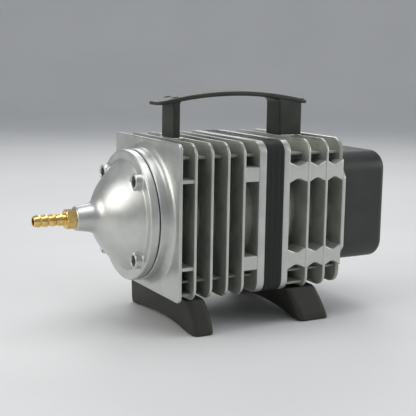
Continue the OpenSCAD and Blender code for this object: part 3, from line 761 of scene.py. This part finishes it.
def column_bay(x0, x1, side, z):
    waist, wide = 5.5, 9.5
    flare = (x1 - x0) * 0.42
    outline = rounded_path(
        [(x0, z - wide), (x0 + flare, z - waist), (x1 - flare, z - waist), (x1, z - wide),
         (x1, z + wide), (x1 - flare, z + waist), (x0 + flare, z + waist), (x0, z + wide)],
        [0, 4, 4, 0, 0, 4, 4, 0], 5)
    low, high = sorted((side * 42.5, side * 63.5))
    return prism("column", outline, low, high, "y", 0.9)


def build_rear_housing():
    outline = rounded_rect(BODY_W, BODY_H, CORNER)
    flange = prism("rear_housing_casting", outline, REAR_X, REAR_X + 6.5, "x", 0.9)
    parts = [rod("coil_wall", REAR_X + 1, 114, COIL_WALL_R, segments=96, edge=1.5),
             rod("barrel", 110, END_X + 2, BARREL_R, segments=96)]
    parts += [fin("fin", x, FIN_T, outline) for x in REAR_FINS]
    wide, narrow = BODY_W / 2, BODY_W / 2 - 6
    top = BODY_H / 2
    end_outline = rounded_path(
        [(wide, 31), (narrow, 40), (narrow, top), (-narrow, top), (-narrow, 40), (-wide, 31),
         (-wide, -31), (-narrow, -40), (-narrow, -top), (narrow, -top), (narrow, -40), (wide, -31)],
        [3, 3, CORNER, CORNER, 3, 3, 3, 3, CORNER, CORNER, 3, 3], 6)
    parts.append(prism("end_plate", end_outline, END_X, REAR_END, "x", 0.9))
    walls = [REAR_X + 5.5] + [x + FIN_T / 2 for x in REAR_FINS] + [END_X + 1]
    bays = list(zip(walls[:-1], walls[1:]))
    parts += [column_bay(x0, x1, side, sz * TIE_Z) for x0, x1 in bays for side in (-1, 1) for sz in (-1, 1)]
    parts += corner_webs(REAR_X + 3, END_X + 1)
    parts.append(foot_web(REAR_X + 3, REAR_FINS[0] + 1))
    parts.append(brick("handle_landing", (128, -13, 35), (149, 13, BODY_H / 2), 0.8))
    parts += [post("foot_landing", REAR_FOOT_SCREW, side * FOOT_SCREW_Y, -BODY_H / 2, -20, 6.5)
              for side in (-1, 1)]
    join_with(flange, parts)
    bore = [(0.0, REAR_X - 1), (8.05, REAR_X - 1), (8.05, REAR_END + 1), (0.0, REAR_END + 1)]
    front_room = [(0.0, REAR_X - 1), (49.5, REAR_X - 1), (49.5, 112), (40, 112), (40, 134), (15, 134),
                  (15, 130), (0, 130)]
    back_room = [(0.0, 146), (15, 146), (15, 138), (40, 138), (40, REAR_END + 1), (0.0, REAR_END + 1)]
    tools = [lathe("front_room", front_room, 96), lathe("back_room", back_room, 96), lathe("bore", bore, 48)]
    for k in range(6):
        a = math.radians(60 * k)
        tools.append(rod("window", 133, 139, 8.5, (27.5 * math.cos(a), 27.5 * math.sin(a)), 32))
    tools += [rod("tap", REAR_X - 1, REAR_END + 1, 2.55, (y, z), 24) for y, z in corners(TIE_Y, TIE_Z)]
    tools += [rod("recess", END_X - 0.2, REAR_END + 1, 5.2, (y, z), 32) for y, z in corners(TIE_Y, TIE_Z)]
    tools += [post("tap", REAR_FOOT_SCREW, side * FOOT_SCREW_Y, -BODY_H / 2 - 1, -BODY_H / 2 + 14, 2.55)
              for side in (-1, 1)]
    cut(flange, tools)
    shade(flange, 30)
    return finish_piece(flange, PUMP, MATERIALS["cast_alloy_painted_shade"], "cast_alloy", "rear_housing")


def build_stack():
    """Stator stack of half-millimetre sheets, with a shallow groove between neighbours."""
    sheet_t, groove = 0.5, 0.13
    outline = rounded_rect(BODY_W, BODY_H, CORNER)
    levels = [(STACK_X, groove)]
    count = round((STACK_END - STACK_X) / sheet_t)
    for i in range(count):
        x = STACK_X + i * sheet_t
        levels += [(x + 0.07, 0.0), (x + sheet_t - 0.12, 0.0)]
        if i < count - 1:
            levels += [(x + sheet_t - 0.05, groove), (x + sheet_t, groove)]
    levels.append((STACK_END, groove))
    core = stack("stator_laminations", outline, levels)
    cut(core, [prism("opening", rounded_rect(84, 84, 8), STACK_X - 1, STACK_END + 1)])
    poles = [brick("pole", (STACK_X, -12, 5), (STACK_END, 12, 43), 0.3),
             brick("pole", (STACK_X, -12, -43), (STACK_END, 12, -5), 0.3)]
    join_with(core, poles)
    tools = [rod("armature_room", STACK_X - 1, STACK_END + 1, 15.3, segments=64)]
    tools += [rod("hole", STACK_X - 1, STACK_END + 1, 2.55, (y, z), 24) for y, z in corners(TIE_Y, TIE_Z)]
    cut(core, tools)
    shade(core, 25)
    return finish_piece(core, PUMP, MATERIALS["lamination"], "lamination", "stator_core")


# ------------------------------------------------------------------ rear cover
COVER_Z = sum(span("rear_cover", 2)) / 2
COVER_W = span("rear_cover", 1)[1] * 2
COVER_H = span("rear_cover", 2)[1] - span("rear_cover", 2)[0]
COVER_SCREWS = [(y, COVER_Z + z) for y, z in corners(44, 31)]
GROMMET_Z = -25.0


def build_rear_cover():
    outer = rounded_rect(COVER_W, COVER_H, 17, 10, (0, COVER_Z))
    inner = rounded_rect(COVER_W - 6, COVER_H - 6, 14, 10, (0, COVER_Z))
    cover = prism("rear_cover_moulding", outer, COVER_X, COVER_END, "x", edges=(0.6, 7.0), steps=8)
    cut(cover, [prism("inside", inner, COVER_X - 1, COVER_END - 3, "x", edges=(0, 5.0), steps=6)])
    parts = [rod("pillar", COVER_X, COVER_END - 2, 5.3, centre, 32) for centre in COVER_SCREWS]
    parts.append(rod("grommet_boss", COVER_END - 7, COVER_END - 1, 10, (0, GROMMET_Z), 48))
    join_with(cover, parts)
    tools = []
    for i in range(9):
        y = -30 + 7.5 * i
        slot = rounded_rect(3.5, 42, 1.7, 5, (y, COVER_Z + 9))
        tools.append(prism("slot", slot, COVER_END - 5, COVER_END + 5))
    for centre in COVER_SCREWS:
        tools += [rod("hole", COVER_X - 1, COVER_END + 1, 2.2, centre, 24),
                  rod("head", COVER_END - 8, COVER_END + 1, 4.0, centre, 32)]
    tools += [rod("cord_hole", COVER_END - 9, COVER_END + 1, 6.05, (0, GROMMET_Z), 48),
              rod("cord_seat", COVER_END - 2, COVER_END + 1, 8.2, (0, GROMMET_Z), 48)]
    cut(cover, tools)
    bevel(cover, 0.45, 50, 2)
    shade(cover, 32)
    return finish_piece(cover, PUMP, MATERIALS["cover_plastic"], "cover_plastic", "rear_cover")


def build_rear_cover_screws():
    made = [screw("rear_screw", place(COVER_END - 8, y, z), (-1, 0, 0), 2.0, 3.5, 2.7, 46)
            for y, z in COVER_SCREWS]
    return finish_piece(merged("rear_cover_screw_set", made), PUMP, MATERIALS["steel"], "steel",
                        "rear_cover_screws")


def build_grommet():
    profile = rounded_path(
        [(3.75, COVER_END - 12), (6.0, COVER_END - 12), (6.0, COVER_END - 2), (8.0, COVER_END - 2),
         (8.0, COVER_END), (3.75, COVER_END)], [0.4, 0.6, 0, 0.3, 0.9, 0.7], 4)
    grommet = lathe("cord_grommet_rubber", profile, 64, (0, GROMMET_Z))
    shade(grommet, 35)
    return finish_piece(grommet, PUMP, MATERIALS["gasket"], "gasket", "cord_grommet")


# ------------------------------------------------------------------ handle
STRAP_X0, STRAP_X1 = span("handle", 0)
CROWN_Z = span("handle", 2)[1]
STRAP_W = span("handle", 1)[1] * 2
STRAP_T, STRAP_DROP = 4.0, 8.8
STRAP_HALF = (STRAP_X1 - STRAP_X0) / 2
STRAP_MID = (STRAP_X1 + STRAP_X0) / 2
STRAP_R = (STRAP_HALF ** 2 + STRAP_DROP ** 2) / (2 * STRAP_DROP)
HANDLE_POSTS = ((20.0, 27.0), (126.5, 150.5))
HANDLE_SCREWS = [(sum(p) / 2, sy * 7.0) for p in HANDLE_POSTS for sy in (-1, 1)]


def strap_top(x):
    return CROWN_Z - STRAP_R + math.sqrt(STRAP_R ** 2 - (x - STRAP_MID) ** 2)


def build_handle():
    """Arched strap with rounded ends on two posts that flare into it."""
    end_round, edge = 7.0, 1.3
    rings = []
    count = 72
    for i in range(count + 1):
        share = 0.5 - 0.5 * math.cos(math.pi * i / count)
        x = STRAP_X0 + (STRAP_X1 - STRAP_X0) * share
        from_end = min(x - STRAP_X0, STRAP_X1 - x)
        pull = max(0.0, end_round - from_end)
        half = STRAP_W / 2 - end_round + math.sqrt(max(0.0, end_round ** 2 - pull ** 2))
        thin = STRAP_T - 1.4 * max(0.0, 1 - from_end / 12.0) ** 2
        r = min(edge, thin / 2 - 0.05)
        outline = rounded_rect(2 * half, thin, r, 4, (0.0, strap_top(x) - thin / 2))
        rings.append([place(x, y, z) for y, z in outline])
    handle = loft("handle_moulding", rings)
    posts = []
    base = span("handle", 2)[0]
    for x0, x1 in HANDLE_POSTS:
        top = strap_top((x0 + x1) / 2) - 2.0
        flare = 4.0
        levels = [(base, 0.5), (base + 0.5, 0.0), (top - flare, 0.0)]
        levels += [(top - flare + flare * math.sin(a), -flare * 0.8 * (1 - math.cos(a)))
                   for a in (0.35, 0.7, 1.05, 1.3, 1.5)]
        length = x1 - x0
        outline = rounded_rect(length, STRAP_W - 1.2, 1.6, 4, ((x0 + x1) / 2, 0.0))
        rings = []
        for z, by in levels:
            ring = inset(outline, by)
            side = STRAP_W / 2 - 0.6
            rings.append([place(x, max(-side, min(side, y)), z) for x, y in ring])
        posts.append(loft("post", rings))
    join_with(handle, posts)
    tools = []
    for x, y in HANDLE_SCREWS:
        tools += [post("hole", x, y, base - 1, CROWN_Z, 2.2, 24),
                  post("seat", x, y, strap_top(x) - 3.4, CROWN_Z + 5, 3.4, 32)]
    cut(handle, tools)
    shade(handle, 32)
    return finish_piece(handle, PUMP, MATERIALS["handle_plastic"], "handle_plastic", "handle")


def build_handle_screws():
    made = [screw("handle_screw", place(x, y, strap_top(x) - 3.4), (0, 0, -1), 2.0, 3.1, 2.4,
                  strap_top(x) - 54.5, "hexagon") for x, y in HANDLE_SCREWS]
    return finish_piece(merged("handle_screw_set", made), PUMP, MATERIALS["black_steel"], "steel",
                        "handle_screws")


# ------------------------------------------------------------------ feet
FLOOR = -AXIS_Z / MM
FOOT_TOP = -BODY_H / 2


def lean(t, a, b, c):
    return (1 - t) ** 2 * a + 2 * t * (1 - t) * b + t * t * c


def build_foot(name, node, front, back, screw_x, arch_h):
    """Moulded bridge: a block lofted from top to floor, arched underneath."""
    half = span(node, 1)[1]
    steps = 14
    levels = []
    for i in range(steps + 1):
        t = i / steps
        z = FOOT_TOP + (FLOOR - FOOT_TOP) * t
        width = half - 6 * max(0.0, 1 - t / 0.82)
        levels.append((z, lean(t, *front), lean(t, *back), width, 0.0))
    z, x0, x1, width, _ = levels[0]
    levels[0] = (z, x0, x1, width, 0.9)
    levels.insert(1, (z - 0.9, x0, x1, width, 0.0))
    z, x0, x1, width, _ = levels[-1]
    levels[-1] = (z + 1.2, x0, x1, width, 0.0)
    levels.append((z, x0, x1, width, 1.2))
    rings = []
    for z, x0, x1, width, by in levels:
        outline = rounded_rect(x1 - x0, 2 * width, 5.0, 7, ((x0 + x1) / 2, 0.0))
        rings.append([place(x, y, z) for x, y in inset(outline, by)])
    foot = loft(name, rings)
    arch_half = half - 8
    arch_r = (arch_half ** 2 + arch_h ** 2) / (2 * arch_h)
    low, high = span(node, 0)
    tools = [rod("arch", low - 5, high + 5, arch_r, (0, FLOOR + arch_h - arch_r), 360)]
    for side in (-1, 1):
        tools += [post("well", screw_x, side * FOOT_SCREW_Y, FLOOR - 1, FOOT_TOP - 12, 5.0),
                  post("hole", screw_x, side * FOOT_SCREW_Y, FLOOR - 1, FOOT_TOP + 1, 2.7, 24)]
    cut(foot, tools)
    bevel(foot, 0.8, 38, 3)
    keep_above(foot, FLOOR)
    shade(foot, 35)
    return finish_piece(foot, PUMP, MATERIALS["foot_rubber"], "foot_rubber", node)


def keep_above(piece, floor):
    limit = place(0, 0, floor).z
    for v in piece.data.vertices:
        v.co.z = max(v.co.z, limit)


def build_foot_screws():
    made = [screw("foot_screw", place(x, side * FOOT_SCREW_Y, FOOT_TOP - 12), (0, 0, 1), 2.5, 4.4, 3.0, 23.5)
            for x in (FRONT_FOOT_SCREW, REAR_FOOT_SCREW) for side in (-1, 1)]
    return finish_piece(merged("foot_screw_set", made), PUMP, MATERIALS["steel"], "steel", "foot_screws")


build_nozzle()
build_outlet_cover()
build_cover_screws()
build_front_housing()
build_rear_housing()
build_stack()
build_rear_cover()
build_rear_cover_screws()
build_grommet()
build_handle()
build_handle_screws()
build_foot("front_foot_rubber", "front_foot", (11.0, 13.0, 15.0), (28.0, 33.5, 34.5),
           FRONT_FOOT_SCREW, 6.0)
build_foot("rear_foot_rubber", "rear_foot", (108.0, 116.0, 120.5), (139.0, 147.0, 151.0),
           REAR_FOOT_SCREW, 9.0)
build_foot_screws()

# The CAD nodes that stay take the material of their slot
slot_of = {part["node"]: part["material_slot"] for part in frame["record"]["subparts"]}
for node, piece in frame["nodes"].items():
    piece.data.materials.clear()
    piece.data.materials.append(MATERIALS[slot_of[node]])
    for face in piece.data.polygons:
        face.material_index = 0


# ------------------------------------------------------------------ floor, light and camera
def build_stage():
    flat, rise, sides = 2.6, 1.2, 96
    levels = [(flat, 0.0)]
    levels += [(flat + rise * math.sin(a), rise * (1 - math.cos(a)))
               for a in (math.pi / 2 * i / 12 for i in range(1, 13))]
    levels.append((flat + rise, 2.6))
    points = [(0.0, 0.0, 0.0)]
    points += [(r * math.cos(2 * math.pi * k / sides), r * math.sin(2 * math.pi * k / sides), z)
               for r, z in levels for k in range(sides)]
    faces = [(0, 1 + k, 1 + (k + 1) % sides) for k in range(sides)]
    for i in range(len(levels) - 1):
        a, b = 1 + i * sides, 1 + (i + 1) * sides
        faces += [(a + k, b + k, b + (k + 1) % sides, a + (k + 1) % sides) for k in range(sides)]
    floor = add_object("floor", points, faces)
    for face in floor.data.polygons:
        face.use_smooth = True
    s = Surface("floor_paint")
    cloud = s.noise(3.0, 3.0)
    color = s.mix(s.spread(cloud, 0.3, 0.7), (0.72, 0.72, 0.71), (0.75, 0.75, 0.745))
    floor.data.materials.append(s.finish(color, 0.6))
    world = bpy.data.worlds.new("studio")
    world.use_nodes = True
    world.node_tree.nodes["Background"].inputs[0].default_value = (0.80, 0.84, 0.90, 1.0)
    world.node_tree.nodes["Background"].inputs[1].default_value = 0.5
    bpy.context.scene.world = world


def soft_light(name, at, aim, size, power, color):
    data = bpy.data.lights.new(name, "AREA")
    data.shape = "RECTANGLE"
    data.size, data.size_y = size
    data.energy = power
    data.color = color
    lamp = bpy.data.objects.new(name, data)
    lamp.location = at
    lamp.rotation_euler = (Vector(aim) - Vector(at)).to_track_quat("-Z", "Y").to_euler()
    bpy.context.scene.collection.objects.link(lamp)


def build_camera():
    azimuth, elevation, roll = math.radians(-28.8), math.radians(9.4), math.radians(0.9)
    distance, field = 0.83, math.radians(25.1)
    target = place(61.0, 0.0, 0.6)
    back = Vector((math.sin(azimuth) * math.cos(elevation), -math.cos(azimuth) * math.cos(elevation),
                   math.sin(elevation)))
    data = bpy.data.cameras.new("camera")
    data.sensor_width = 36.0
    data.lens = data.sensor_width / 2 / math.tan(field / 2)
    data.clip_start, data.clip_end = 0.02, 50.0
    camera = bpy.data.objects.new("camera", data)
    camera.location = target + back * distance
    turn = (-back).to_track_quat("-Z", "Y").to_matrix().to_4x4() @ Matrix.Rotation(roll, 4, "Z")
    camera.rotation_euler = turn.to_euler()
    bpy.context.scene.collection.objects.link(camera)
    bpy.context.scene.camera = camera


build_stage()
soft_light("key", (-1.3, 0.15, 0.75), (-0.05, 0, 0.09), (1.0, 0.9), 8.5, (1.0, 0.98, 0.95))
soft_light("top", (0.15, -0.1, 1.5), (0.05, 0, 0.05), (1.5, 0.8), 9.0, (0.98, 0.99, 1.0))
soft_light("side", (1.5, -0.9, 0.6), (0.05, 0, 0.09), (0.8, 0.8), 7.0, (1.0, 1.0, 1.0))
soft_light("rim", (0.6, 1.2, 1.0), (0, 0, 0.1), (1.0, 0.5), 5.0, (1.0, 1.0, 1.0))
build_camera()
bpy.context.scene.view_settings.view_transform = "Standard"
